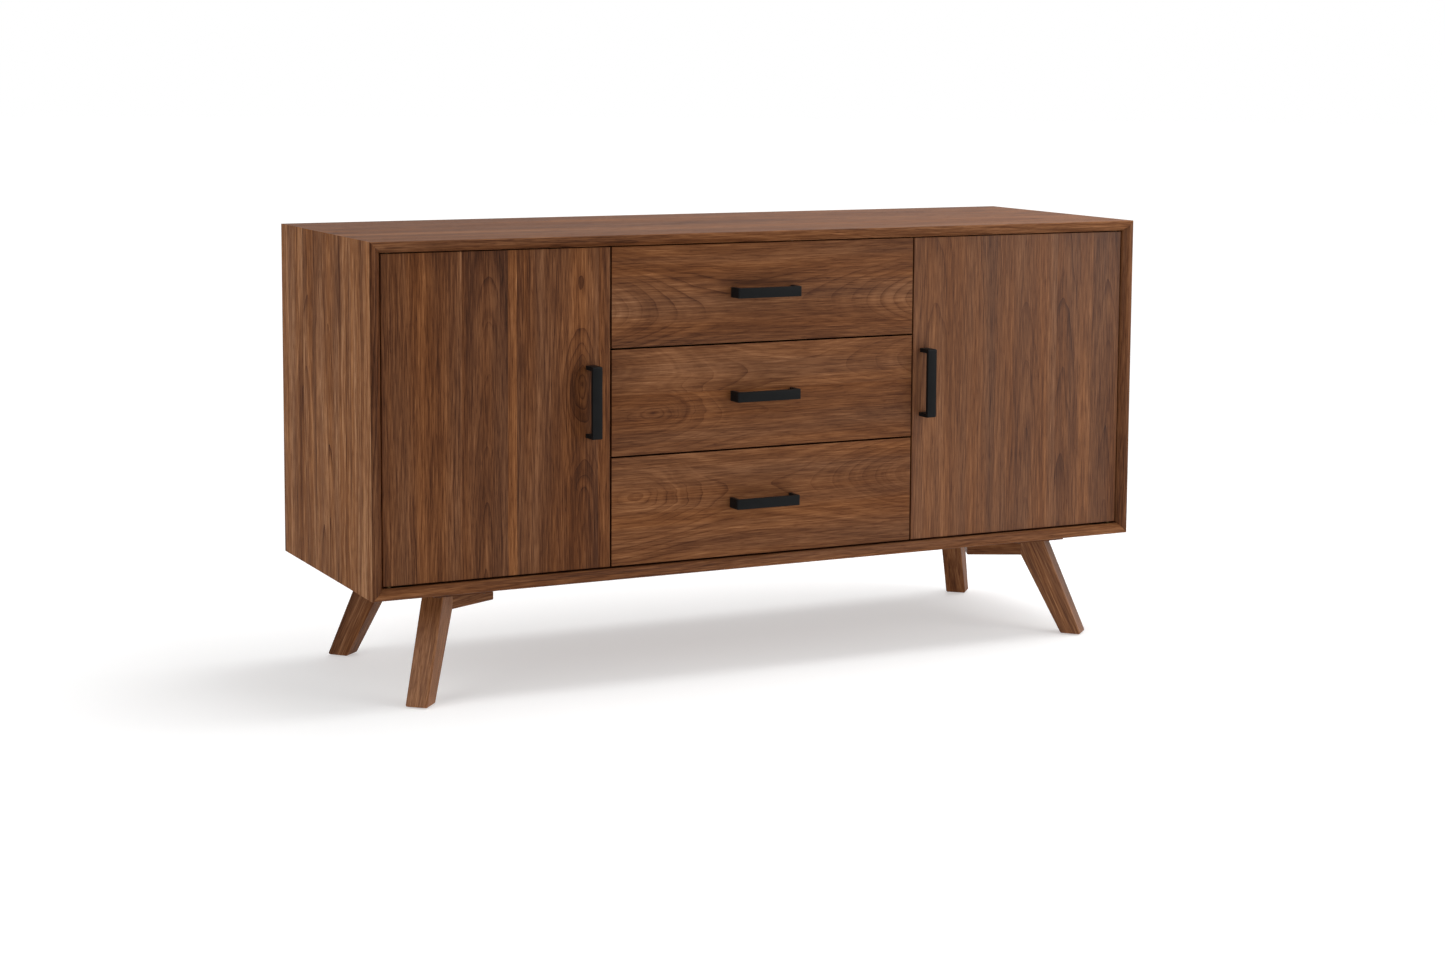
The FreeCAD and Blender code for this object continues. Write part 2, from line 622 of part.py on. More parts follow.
# ---------------------------------------------------------------- checks and export
document.recompute()
for thing in document.Objects:
    if "Invalid" in thing.State or "Error" in thing.State:
        raise RuntimeError("%s failed: %s" % (thing.Label, thing.State))
if len(subparts) > 60 or len(set(thing.Label for thing in subparts)) != len(subparts):
    raise RuntimeError("the list of pieces is wrong")
os.makedirs("parts", exist_ok=True)
for thing in subparts:
    shape = thing.Shape
    if shape.isNull() or not shape.isValid() or not shape.Solids:
        raise RuntimeError(thing.Label + " is not a valid solid")
    shape.exportStep("parts/%s.step" % thing.Label)
print(len(subparts), "pieces written")
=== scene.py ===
import bmesh
import bpy
import json
import math
from mathutils import Matrix, Vector


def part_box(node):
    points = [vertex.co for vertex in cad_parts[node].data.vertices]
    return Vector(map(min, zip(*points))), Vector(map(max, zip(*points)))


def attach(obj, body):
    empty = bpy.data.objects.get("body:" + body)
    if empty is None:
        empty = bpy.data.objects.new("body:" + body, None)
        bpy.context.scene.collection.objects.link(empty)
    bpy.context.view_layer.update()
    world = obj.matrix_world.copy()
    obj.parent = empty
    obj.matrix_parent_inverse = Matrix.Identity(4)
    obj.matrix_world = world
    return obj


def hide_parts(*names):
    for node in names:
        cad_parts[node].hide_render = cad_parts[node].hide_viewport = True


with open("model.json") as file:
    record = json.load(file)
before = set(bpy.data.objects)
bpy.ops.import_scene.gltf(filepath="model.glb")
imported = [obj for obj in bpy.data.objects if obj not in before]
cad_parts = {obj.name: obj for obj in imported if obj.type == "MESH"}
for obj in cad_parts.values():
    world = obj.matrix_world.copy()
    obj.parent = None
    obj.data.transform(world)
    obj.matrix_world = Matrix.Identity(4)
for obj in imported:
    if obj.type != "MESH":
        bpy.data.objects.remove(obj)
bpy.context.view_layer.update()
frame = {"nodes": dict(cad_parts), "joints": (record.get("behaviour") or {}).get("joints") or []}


# ---------------------------------------------------------------- case boards
# Four boards of walnut-veneered panel make the case, with a walnut strip on their front edges.
# They are mitred at the corners, bevelled round the mouth, and rabbeted behind for the back.

def add(tree, kind, sockets=None, **settings):
    """One node with its settings, its input values and the sockets that feed it."""
    made = tree.nodes.new(kind)
    for name, value in settings.items():
        setattr(made, name, value)
    for name, value in (sockets or {}).items():
        if isinstance(value, bpy.types.NodeSocket):
            tree.links.new(value, made.inputs[name])
        else:
            made.inputs[name].default_value = value
    return made


def sums(tree, operation, a, b=0.0, c=0.0):
    """One step of arithmetic on node values."""
    return add(tree, "ShaderNodeMath", {0: a, 1: b, 2: c}, operation=operation).outputs[0]


def stretched(tree, vector, along, across, through):
    """The board's coordinates stretched, so that a noise runs with the grain."""
    scale = (along, across, through)
    return add(tree, "ShaderNodeVectorMath", {0: vector, 1: scale}, operation="MULTIPLY").outputs[0]


def noise(tree, vector, seed, detail=2.0, roughness=0.5):
    """Noise round 0.5, its own for every seed."""
    sockets = {"Vector": vector, "W": seed, "Scale": 1.0, "Detail": detail, "Roughness": roughness}
    return add(tree, "ShaderNodeTexNoise", sockets, noise_dimensions="4D").outputs[0]


def remap(tree, value, low, high, to_low=0.0, to_high=1.0, smooth=False):
    """A value's range from low to high, carried over to another range and clamped."""
    sockets = {"Value": value, "From Min": low, "From Max": high,
               "To Min": to_low, "To Max": to_high}
    kind = "SMOOTHSTEP" if smooth else "LINEAR"
    return add(tree, "ShaderNodeMapRange", sockets, interpolation_type=kind).outputs[0]


def ramp(tree, value, stops, constant=False):
    """A colour ramp from its stops: (place, (red, green, blue))."""
    made = add(tree, "ShaderNodeValToRGB", {0: value})
    made.color_ramp.interpolation = "CONSTANT" if constant else "LINEAR"
    elements = made.color_ramp.elements
    while len(elements) < len(stops):
        elements.new(0.5)
    for element, (place, colour) in zip(elements, stops):
        element.position = place
        element.color = (*colour, 1.0)
    return made.outputs[0]


SLOW_WANDER = 0.034
QUICK_WANDER = 0.006
HEART_WANDER = 0.02
KNOT_LONG = 0.45
KNOT_RINGS = 1.1
LINES_PER_TURN = 0.62
SHARP_LINE = 7.0


def walnut_figure():
    """The figure of one walnut board, in its own coordinates: along, across and through it.

    Growth rings are cones round a heart that lies near the face, so the saw cuts them into
    arches. Crown is where they peak, and the rings there are Depth from the face.
    """
    tree = bpy.data.node_groups.new("walnut_figure", "ShaderNodeTree")
    numbers = {"Crown": 0.0, "Depth": 0.05, "Slope": 0.08, "Flare": 0.0, "Rings": 190.0,
               "Seed": 0.0, "Tone": 0.0, "Contrast": 1.0,
               "Knot Along": 0.0, "Knot Across": 0.0, "Knot Size": 0.0}
    tree.interface.new_socket("Board", in_out="INPUT", socket_type="NodeSocketVector")
    tree.interface.new_socket("Stave", in_out="INPUT", socket_type="NodeSocketVector")
    for name, start in numbers.items():
        made = tree.interface.new_socket(name, in_out="INPUT", socket_type="NodeSocketFloat")
        made.default_value = start
    for name, kind in (("Color", "NodeSocketColor"), ("Roughness", "NodeSocketFloat"),
                       ("Height", "NodeSocketFloat")):
        tree.interface.new_socket(name, in_out="OUTPUT", socket_type=kind)
    given = tree.nodes.new("NodeGroupInput").outputs
    stave = add(tree, "ShaderNodeSeparateXYZ", {0: given["Stave"]}).outputs
    stave_tone = sums(tree, "SUBTRACT", stave[0], 0.5)
    heart = sums(tree, "SUBTRACT", stave[1], 0.5)
    seed = sums(tree, "MULTIPLY_ADD", stave[2], 37.0, given["Seed"])
    board = given["Board"]
    along, across, through = add(tree, "ShaderNodeSeparateXYZ", {0: board}).outputs

    # The grain wanders on its way along the board: by centimetres slowly, by millimetres quickly.
    slow = sums(tree, "SUBTRACT", noise(tree, stretched(tree, board, 2.2, 7, 7), seed), 0.5)
    quick = sums(tree, "SUBTRACT", noise(tree, stretched(tree, board, 11, 30, 30), seed), 0.5)
    wander = sums(tree, "MULTIPLY_ADD", quick, QUICK_WANDER,
                  sums(tree, "MULTIPLY", slow, SLOW_WANDER))
    across = sums(tree, "ADD", across, wander)

    # Distance from the heart, which rises and falls along the board.
    away = sums(tree, "SUBTRACT", along, given["Crown"])
    rise = sums(tree, "MULTIPLY_ADD", sums(tree, "MULTIPLY", away, away), given["Flare"],
                sums(tree, "MULTIPLY_ADD", away, given["Slope"], given["Depth"]))
    rise = sums(tree, "ADD", sums(tree, "ADD", rise, through),
                sums(tree, "MULTIPLY", slow, HEART_WANDER))
    side = sums(tree, "SUBTRACT", across, heart)
    ring = sums(tree, "SQRT", sums(tree, "MULTIPLY_ADD", side, side,
                                   sums(tree, "MULTIPLY", rise, rise)))

    # Round a knot the rings close into uneven ovals, longer along the board than across it.
    knot_along = sums(tree, "MULTIPLY", sums(tree, "SUBTRACT", along, given["Knot Along"]),
                      KNOT_LONG)
    knot_across = sums(tree, "SUBTRACT", across, given["Knot Across"])
    knot = sums(tree, "SQRT", sums(tree, "MULTIPLY_ADD", knot_along, knot_along,
                                   sums(tree, "MULTIPLY", knot_across, knot_across)))
    uneven = sums(tree, "MULTIPLY_ADD", quick, 0.02, sums(tree, "MULTIPLY", slow, 0.05))
    knot = sums(tree, "ADD", knot, uneven)
    reach = sums(tree, "MAXIMUM", given["Knot Size"], 0.0001)
    near = sums(tree, "DIVIDE", knot, reach)
    knotted = sums(tree, "GREATER_THAN", given["Knot Size"], 0.001)
    pull = sums(tree, "MULTIPLY", remap(tree, near, 0.1, 1.9, 0.85, 0.0, smooth=True), knotted)
    oval = sums(tree, "MULTIPLY", knot, KNOT_RINGS)
    ring = add(tree, "ShaderNodeMix", {0: pull, 2: ring, 3: oval}).outputs[0]

    # Rings: wide tone bands, narrow bands, and the thin dark line that ends each year.
    turns = sums(tree, "MULTIPLY_ADD", quick, 0.9, sums(tree, "MULTIPLY", ring, given["Rings"]))
    broad = sums(tree, "MULTIPLY", ring, 26.0)
    drift = sums(tree, "MULTIPLY", along, 1.2)
    flat = add(tree, "ShaderNodeCombineXYZ", {0: broad}).outputs[0]
    fine = add(tree, "ShaderNodeCombineXYZ", {0: turns, 1: drift}).outputs[0]
    bands = sums(tree, "SUBTRACT", noise(tree, flat, seed, 3.0, 0.6), 0.5)
    narrow = sums(tree, "SUBTRACT", noise(tree, fine, seed, 2.0, 0.6), 0.5)
    year = sums(tree, "FRACT", sums(tree, "MULTIPLY", turns, LINES_PER_TURN))
    line = sums(tree, "POWER", year, SHARP_LINE)
    strength = remap(tree, noise(tree, stretched(tree, board, 3, 16, 16), seed), 0.38, 0.72)
    year_line = sums(tree, "MULTIPLY", line, strength)

    # Fibres and pores run along the board and are cut short.
    streaked = noise(tree, stretched(tree, board, 3.0, 110, 110), seed, 3.0, 0.6)
    streak = sums(tree, "SUBTRACT", streaked, 0.5)
    fibres = noise(tree, stretched(tree, board, 18, 480, 480), seed, 2.0, 0.6)
    fibre = sums(tree, "SUBTRACT", fibres, 0.5)
    grit = noise(tree, stretched(tree, board, 55, 1100, 1100), seed, 1.0, 0.5)
    pores = remap(tree, grit, 0.58, 0.72)
    patch = sums(tree, "SUBTRACT", noise(tree, stretched(tree, board, 1.6, 9, 9), seed, 2.0, 0.5), 0.5)

    # How strongly each of these shows, and the dark core of the knot.
    tone = sums(tree, "MULTIPLY", bands, 0.90)
    for part, share in ((narrow, 0.42), (year_line, -0.36), (streak, 0.50), (fibre, 1.05),
                        (pores, -0.22), (patch, 0.40)):
        tone = sums(tree, "MULTIPLY_ADD", part, share, tone)
    core = sums(tree, "MULTIPLY", remap(tree, near, 0.0, 0.30, -0.14, 0.0, smooth=True), knotted)
    tone = sums(tree, "ADD", tone, core)
    tone = sums(tree, "MULTIPLY_ADD", tone, given["Contrast"], 0.5)
    tone = sums(tree, "ADD", sums(tree, "ADD", tone, given["Tone"]), stave_tone)

    warm = ramp(tree, tone, [(0.0, (0.026, 0.008, 0.003)), (0.28, (0.082, 0.026, 0.008)),
                             (0.52, (0.150, 0.053, 0.017)), (0.75, (0.245, 0.097, 0.034)),
                             (1.0, (0.40, 0.19, 0.080))])
    cool = ramp(tree, tone, [(0.0, (0.026, 0.010, 0.005)), (0.28, (0.074, 0.027, 0.012)),
                             (0.52, (0.138, 0.056, 0.024)), (0.75, (0.225, 0.100, 0.046)),
                             (1.0, (0.36, 0.19, 0.095))])
    hue = noise(tree, stretched(tree, board, 1.2, 24, 24), sums(tree, "ADD", seed, 5.0), 2.0)
    blend = remap(tree, hue, 0.35, 0.65)
    colour = add(tree, "ShaderNodeMix", {0: blend, 6: warm, 7: cool}, data_type="RGBA").outputs[2]
    gloss = remap(tree, sums(tree, "ADD", streak, pores), -0.4, 1.0, 0.40, 0.62)
    height = sums(tree, "MULTIPLY_ADD", fibre, 0.5, sums(tree, "MULTIPLY", pores, -1.0))
    height = sums(tree, "MULTIPLY_ADD", line, -0.3, height)
    out = tree.nodes.new("NodeGroupOutput")
    tree.links.new(colour, out.inputs["Color"])
    tree.links.new(gloss, out.inputs["Roughness"])
    tree.links.new(height, out.inputs["Height"])
    return tree


FIGURE = walnut_figure()

# How a board's own axes lie: its length along X or along Z, and which way its width goes.
LENGTH_X_WIDTH_Y = (0.0, 0.0, 0.0)
LENGTH_X_WIDTH_Z = (math.radians(90), 0.0, 0.0)
LENGTH_Z_WIDTH_X = (math.radians(-90), math.radians(-90), 0.0)
LENGTH_Z_WIDTH_Y = (0.0, math.radians(-90), 0.0)
LENGTH_Y_WIDTH_Z = (math.radians(90), 0.0, math.radians(90))


def walnut(name, centre, turn, staves=((0.0, 0.0, 0.0),), half=0.3, sheen=0.07, **figure):
    """Oiled walnut for one board: where its centre is, how it lies and how it was cut.

    staves are (where it starts across the board, tone, where its heart is), half is half the
    span that the staves share.
    """
    made = bpy.data.materials.new(name)
    made.use_nodes = True
    tree = made.node_tree
    shader = tree.nodes["Principled BSDF"]
    place = add(tree, "ShaderNodeTexCoord").outputs["Object"]
    sockets = {"Vector": place, "Location": centre, "Rotation": turn}
    board = add(tree, "ShaderNodeMapping", sockets, vector_type="TEXTURE").outputs[0]
    across = add(tree, "ShaderNodeSeparateXYZ", {0: board}).outputs[1]
    wobble = noise(tree, stretched(tree, board, 3.0, 4.0, 4.0), 3.0)
    across = sums(tree, "MULTIPLY_ADD", sums(tree, "SUBTRACT", wobble, 0.5), 0.007, across)
    stops = []
    for number, (start, tone, heart) in enumerate(staves):
        where = 0.0 if number == 0 else (start + half) / (2 * half)
        stops.append((where, (0.5 + tone, 0.5 + heart, (number * 0.37) % 1)))
    if len(stops) == 1:
        stops.append((1.0, stops[0][1]))
    stave = ramp(tree, remap(tree, across, -half, half), stops, constant=True)
    group = add(tree, "ShaderNodeGroup", node_tree=FIGURE)
    tree.links.new(board, group.inputs["Board"])
    tree.links.new(stave, group.inputs["Stave"])
    for key, value in figure.items():
        group.inputs[key.replace("_", " ").title()].default_value = value
    bump = add(tree, "ShaderNodeBump", {"Height": group.outputs["Height"], "Strength": 0.35,
                                        "Distance": 0.0003})
    tree.links.new(group.outputs["Color"], shader.inputs["Base Color"])
    tree.links.new(group.outputs["Roughness"], shader.inputs["Roughness"])
    tree.links.new(bump.outputs["Normal"], shader.inputs["Normal"])
    shader.inputs["Specular IOR Level"].default_value = sheen
    return made


NEAR = 0.000001
SHARP = math.radians(20)
CREASE = math.radians(40)
SMALL_FACE = 0.0004
FACING = 0.3


def block(low, high):
    """A board as it comes off the saw, from its lowest to its highest corner."""
    low, high = Vector(low), Vector(high)
    bm = bmesh.new()
    bmesh.ops.create_cube(bm, size=1)
    bmesh.ops.scale(bm, vec=high - low, verts=bm.verts)
    bmesh.ops.translate(bm, vec=(low + high) / 2, verts=bm.verts)
    return bm


def soften(bm, radius, segments=2, wanted=None):
    """Round the sharp edges, or only the wanted ones."""
    sharp = []
    for edge in bm.edges:
        if len(edge.link_faces) == 2 and edge.calc_face_angle(0) > SHARP:
            if wanted is None or wanted(*[vert.co for vert in edge.verts]):
                sharp.append(edge)
    bmesh.ops.bevel(bm, geom=sharp, offset=radius, offset_type="OFFSET", segments=segments,
                    profile=0.5, affect="EDGES", clamp_overlap=True, material=-1)


def at_front(normal):
    return normal.y < -FACING


def at_edge(normal):
    return abs(normal.y) < FACING


def make(name, bm, finish, body, slot, *nodes, trim=None, where=at_front):
    """Turn a bmesh into a finished piece: its material, the body it rides on, its CAD nodes.

    trim is a second finish for the faces that where() picks by their normals.
    """
    bmesh.ops.remove_doubles(bm, verts=bm.verts, dist=NEAR)
    bmesh.ops.recalc_face_normals(bm, faces=bm.faces)
    for face in bm.faces:
        face.smooth = face.calc_area() < SMALL_FACE
    mesh = bpy.data.meshes.new(name)
    bm.to_mesh(mesh)
    bm.free()
    mesh.set_sharp_from_angle(angle=CREASE)
    mesh.materials.append(finish)
    if trim:
        mesh.materials.append(trim)
        for polygon in mesh.polygons:
            polygon.material_index = int(where(polygon.normal))
    piece = bpy.data.objects.new(name, mesh)
    bpy.context.scene.collection.objects.link(piece)
    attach(piece, body)
    if nodes:
        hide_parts(*nodes)
    return piece


def carve(piece, cutter):
    """Take the cutter's shape out of a piece, and throw the cutter away."""
    tool_mesh = bpy.data.meshes.new("cutter")
    cutter.to_mesh(tool_mesh)
    cutter.free()
    tool = bpy.data.objects.new("cutter", tool_mesh)
    bpy.context.scene.collection.objects.link(tool)
    change = piece.modifiers.new("carve", "BOOLEAN")
    change.operation = "DIFFERENCE"
    change.solver = "EXACT"
    change.object = tool
    graph = bpy.context.evaluated_depsgraph_get()
    carved = bpy.data.meshes.new_from_object(piece.evaluated_get(graph))
    piece.modifiers.clear()
    whole = piece.data
    finishes = list(whole.materials)
    piece.data = carved
    bpy.data.meshes.remove(whole)
    carved.name = piece.name
    carved.materials.clear()
    for finish in finishes:
        carved.materials.append(finish)
    bpy.data.objects.remove(tool)
    bpy.data.meshes.remove(tool_mesh)


CASE_LOW, CASE_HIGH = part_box("side_panel_left")[0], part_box("side_panel_right")[1]
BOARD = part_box("top_panel")[1].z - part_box("top_panel")[0].z
FRONT, REAR = CASE_LOW.y, CASE_HIGH.y
BACK_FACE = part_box("back_panel")[0].y
MOUTH_BEVEL = 0.008
RABBET = 0.009
OUTER_ARRIS = 0.003
FINE_ARRIS = 0.0003
MIDDLE_Y = (FRONT + REAR) / 2


def case_board(length, place):
    """A board of the case, made as if it were the top, then turned into its place."""
    bm = bmesh.new()
    outline = [(FRONT, 0), (REAR, 0), (REAR, RABBET - BOARD), (BACK_FACE, RABBET - BOARD),
               (BACK_FACE, -BOARD), (FRONT + MOUTH_BEVEL, -BOARD), (FRONT, MOUTH_BEVEL - BOARD)]
    end = [bm.verts.new((-length / 2, y, z)) for y, z in outline]
    face = bm.faces.new(end)
    grown = bmesh.ops.extrude_face_region(bm, geom=[face])["geom"]
    bmesh.ops.translate(bm, vec=(length, 0, 0),
                        verts=[item for item in grown if isinstance(item, bmesh.types.BMVert)])
    soften(bm, OUTER_ARRIS, 5,
           lambda a, b: all(abs(p.y - FRONT) < NEAR and abs(p.z) < NEAR for p in (a, b)))
    for way in (-1, 1):
        cut = bmesh.ops.bisect_plane(bm, geom=bm.verts[:] + bm.edges[:] + bm.faces[:],
                                     plane_co=(way * length / 2, 0, 0), plane_no=(way, 0, -1),
                                     clear_outer=True)["geom_cut"]
        rim = [item for item in cut if isinstance(item, bmesh.types.BMEdge)]
        bmesh.ops.contextual_create(bm, geom=rim)
    soften(bm, FINE_ARRIS, 1)
    bmesh.ops.transform(bm, matrix=place, verts=bm.verts)
    return bm


def on_side(x, z, degrees):
    """The turn and the place that make the top one of the other boards."""
    return Matrix.Translation((x, 0, z)) @ Matrix.Rotation(math.radians(degrees), 4, "Y")


def lipping_with_painted_light(side, turn, middle_z, tone, sheen=0.05):
    """The walnut strip on a board's front edge, with the grain along the edge. Its tone is painted
    light and shade: each board's strip is made lighter or darker for the light its edge gets.
    """
    return walnut("walnut_lipping_" + side, (0, FRONT, middle_z), turn, seed=40.0 + 9 * tone,
                  depth=0.05, slope=0.05, tone=tone, sheen=sheen)


CASE_WIDTH = CASE_HIGH.x - CASE_LOW.x
CASE_HEIGHT = CASE_HIGH.z - CASE_LOW.z
MIDDLE_Z = (CASE_LOW.z + CASE_HIGH.z) / 2

# The strips' tones are painted shade: the top's and the left side's strips, whose front edges and bevels
# turn away from the lamps, are darker than the others.
top = make("top_board", case_board(CASE_WIDTH, on_side(0, CASE_HIGH.z, 0)),
           walnut("walnut_top", (0, MIDDLE_Y, CASE_HIGH.z), LENGTH_X_WIDTH_Y, half=0.26,
                  staves=[(0, 0.0, -0.28), (-0.20, 0.02, -0.12), (-0.06, -0.02, 0.02),
                          (0.07, 0.02, 0.12), (0.19, -0.01, 0.30)],
                  seed=1.3, depth=0.06, slope=0.05, contrast=1.0, sheen=0.05),
           "case", "walnut_top", "top_panel",
           trim=lipping_with_painted_light("top", LENGTH_X_WIDTH_Y, CASE_HIGH.z, -0.10))
bottom = make("bottom_board", case_board(CASE_WIDTH, on_side(0, CASE_LOW.z, 180)),
              walnut("walnut_bottom", (0, MIDDLE_Y, CASE_LOW.z), LENGTH_X_WIDTH_Y, half=0.26,
                     staves=[(0, 0.02, -0.30), (-0.15, -0.02, -0.05), (0.02, 0.02, 0.10),
                             (0.15, 0.0, 0.25)],
                     seed=7.9, depth=0.05, slope=-0.06),
              "case", "walnut_case", "bottom_panel",
              trim=lipping_with_painted_light("bottom", LENGTH_X_WIDTH_Y, CASE_LOW.z, -0.02, 0.3))
# Its tone=0.15 is painted light: the left side, which faces the key lamp, is made lighter than the other
# boards.
make("side_board_left", case_board(CASE_HEIGHT, on_side(CASE_LOW.x, MIDDLE_Z, -90)),
     walnut("walnut_side_left", (CASE_LOW.x, MIDDLE_Y, MIDDLE_Z), LENGTH_Z_WIDTH_Y, half=0.26,
            staves=[(0, 0.10, -0.30), (-0.224, 0.0, -0.26), (-0.150, 0.07, -0.20),
                    (-0.095, -0.05, -0.02), (-0.020, 0.03, 0.02), (0.050, -0.02, 0.10),
                    (0.120, 0.05, 0.12), (0.165, -0.02, 0.28), (0.215, 0.04, 0.30)],
            seed=4.2, depth=0.05, slope=0.05, tone=0.15, contrast=1.4, sheen=0.01),
     "case", "walnut_case", "side_panel_left",
     trim=lipping_with_painted_light("left", LENGTH_Z_WIDTH_Y, MIDDLE_Z, -0.16))
make("side_board_right", case_board(CASE_HEIGHT, on_side(CASE_HIGH.x, MIDDLE_Z, 90)),
     walnut("walnut_side_right", (CASE_HIGH.x, MIDDLE_Y, MIDDLE_Z), LENGTH_Z_WIDTH_Y, half=0.26,
            staves=[(0, 0.06, -0.30), (-0.20, -0.03, -0.20), (-0.110, 0.03, -0.05),
                    (0.0, -0.02, 0.08), (0.12, 0.04, 0.15), (0.20, -0.02, 0.30)],
            seed=11.6, depth=0.05, slope=-0.05, contrast=0.85),
     "case", "walnut_case", "side_panel_right",
     trim=lipping_with_painted_light("right", LENGTH_Z_WIDTH_Y, MIDDLE_Z, 0.0, 0.1))


# ---------------------------------------------------------------- doors
# Each door is a 20 mm board with the grain upright, matched from wide staves, and its edge faces
# get a near-black walnut: painted shade for the dark gaps round the fronts. Brass hinge leaves are
# let into its top and bottom edges and into the case.
LEAF_ROOM = 0.0001
LEAF_WIDTH = 0.012
LEAF_REACH = 0.042
LEAF_THICK = 0.0025
LEAF_CLEAR = 0.002
HINGE_AXES = {joint["child"]: joint["pos_m"] for joint in frame["joints"]
              if joint["type"] == "hinge"}


def leaf_mortise(piece, side, edge_z, up):
    """Cut the room for one leaf: a flat bar with one round end, sunk into an edge or a face."""
    way = 1 if side == "left" else -1
    x, y, _ = HINGE_AXES["door_" + side]
    half = LEAF_WIDTH / 2 + LEAF_ROOM
    floor_z = edge_z - up * (LEAF_THICK + LEAF_ROOM)
    open_z = edge_z + up * LEAF_CLEAR
    bm = bmesh.new()
    bmesh.ops.create_cone(bm, cap_ends=True, segments=32, radius1=half, radius2=half,
                          depth=abs(open_z - floor_z))
    for vert in bm.verts:
        if vert.co.x * way > 10 * NEAR:
            vert.co.x = way * (LEAF_REACH + LEAF_ROOM)
            vert.co.y = math.copysign(half, vert.co.y) if abs(vert.co.y) > half / 2 else 0.0
    bmesh.ops.remove_doubles(bm, verts=bm.verts, dist=NEAR)
    bmesh.ops.translate(bm, vec=(x, y, (floor_z + open_z) / 2), verts=bm.verts)
    bmesh.ops.recalc_face_normals(bm, faces=bm.faces)
    carve(piece, bm)


FACE_ARRIS = 0.001
BACK_ARRIS = 0.0005


def front_board(node):
    """A front with a rounded arris round its face and softened back edges."""
    low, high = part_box(node)
    bm = block(low, high)
    soften(bm, FACE_ARRIS, 3,
           lambda a, b: abs(a.y - low.y) < NEAR and abs(b.y - low.y) < NEAR)
    soften(bm, BACK_ARRIS, 1)
    return bm


def middle(node):
    """The centre of a node's box."""
    low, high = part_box(node)
    return (low + high) / 2


# Painted shade: the edge faces of the doors and drawer fronts get this near-black walnut, so that the gaps
# between the fronts read dark.
GAP_SHADE_EDGE = walnut("walnut_painted_gap_shade", (0, FRONT, MIDDLE_Z), LENGTH_Z_WIDTH_X, seed=50.0,
                   depth=0.05, slope=0.05, tone=-0.42, contrast=0.6, sheen=0.0)

left_door = make("door_panel_left", front_board("door_left"),
                 walnut("walnut_door_left", middle("door_left"), LENGTH_Z_WIDTH_X, half=0.21,
                        staves=[(0, 0.03, -0.30), (-0.165, -0.03, -0.24), (-0.0695, 0.26, -0.02),
                                (-0.067, -0.03, -0.019), (0.0175, 0.14, 0.16), (0.033, -0.01, 0.155),
                                (0.185, 0.02, 0.155)],
                        seed=2.7, depth=0.016, slope=0.075, rings=230.0, crown=-0.24,
                        knot_along=0.045, knot_across=0.155, knot_size=0.045, tone=-0.03),
                 "door_left", "walnut_fronts", "door_left", trim=GAP_SHADE_EDGE, where=at_edge)
right_door = make("door_panel_right", front_board("door_right"),
                  walnut("walnut_door_right", middle("door_right"), LENGTH_Z_WIDTH_X, half=0.23,
                         staves=[(0, 0.0, -0.183), (-0.031, 0.01, 0.02), (0.085, -0.01, 0.10),
                                 (0.140, 0.03, 0.15), (0.165, -0.02, 0.2)],
                         seed=9.1, depth=0.03, slope=0.06, crown=-0.2, contrast=0.85, tone=0.03, sheen=0.2),
                  "door_right", "walnut_fronts", "door_right", trim=GAP_SHADE_EDGE, where=at_edge)
for side, door in (("left", left_door), ("right", right_door)):
    low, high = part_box("door_" + side)
    leaf_mortise(door, side, high.z, 1)
    leaf_mortise(door, side, low.z, -1)
    leaf_mortise(top, side, CASE_HIGH.z - BOARD, -1)
    leaf_mortise(bottom, side, CASE_LOW.z + BOARD, 1)


# ---------------------------------------------------------------- drawer fronts
# Three fronts with the grain along them, cut from flat-sawn boards with full arches.
make("drawer_face_top", front_board("drawer_front_top"),
     walnut("walnut_drawer_top", middle("drawer_front_top"), LENGTH_X_WIDTH_Z, half=0.1,
            staves=[(0, 0.0, -0.02)],
            seed=3.4, crown=-0.013, depth=0.078, slope=0.0, flare=-0.62, contrast=0.85),
     "drawer_top", "walnut_fronts", "drawer_front_top", trim=GAP_SHADE_EDGE, where=at_edge)
make("drawer_face_middle", front_board("drawer_front_middle"),
     walnut("walnut_drawer_middle", middle("drawer_front_middle"), LENGTH_X_WIDTH_Z, half=0.1,
            staves=[(0, 0.0, -0.03), (0.012, 0.02, 0.05)],
            seed=6.2, crown=0.05, depth=0.07, slope=0.02, flare=-0.5,
            knot_along=-0.222, knot_across=-0.019, knot_size=0.045, contrast=0.85),
     "drawer_middle", "walnut_fronts", "drawer_front_middle", trim=GAP_SHADE_EDGE, where=at_edge)
make("drawer_face_bottom", front_board("drawer_front_bottom"),
     walnut("walnut_drawer_bottom", middle("drawer_front_bottom"), LENGTH_X_WIDTH_Z, half=0.1,
            staves=[(0, 0.0, 0.03)],
            seed=8.8, crown=-0.02, depth=0.075, slope=0.0, flare=-0.7,
            knot_along=-0.253, knot_across=0.032, knot_size=0.06, contrast=0.85),
     "drawer_bottom", "walnut_fronts", "drawer_front_bottom", trim=GAP_SHADE_EDGE, where=at_edge)


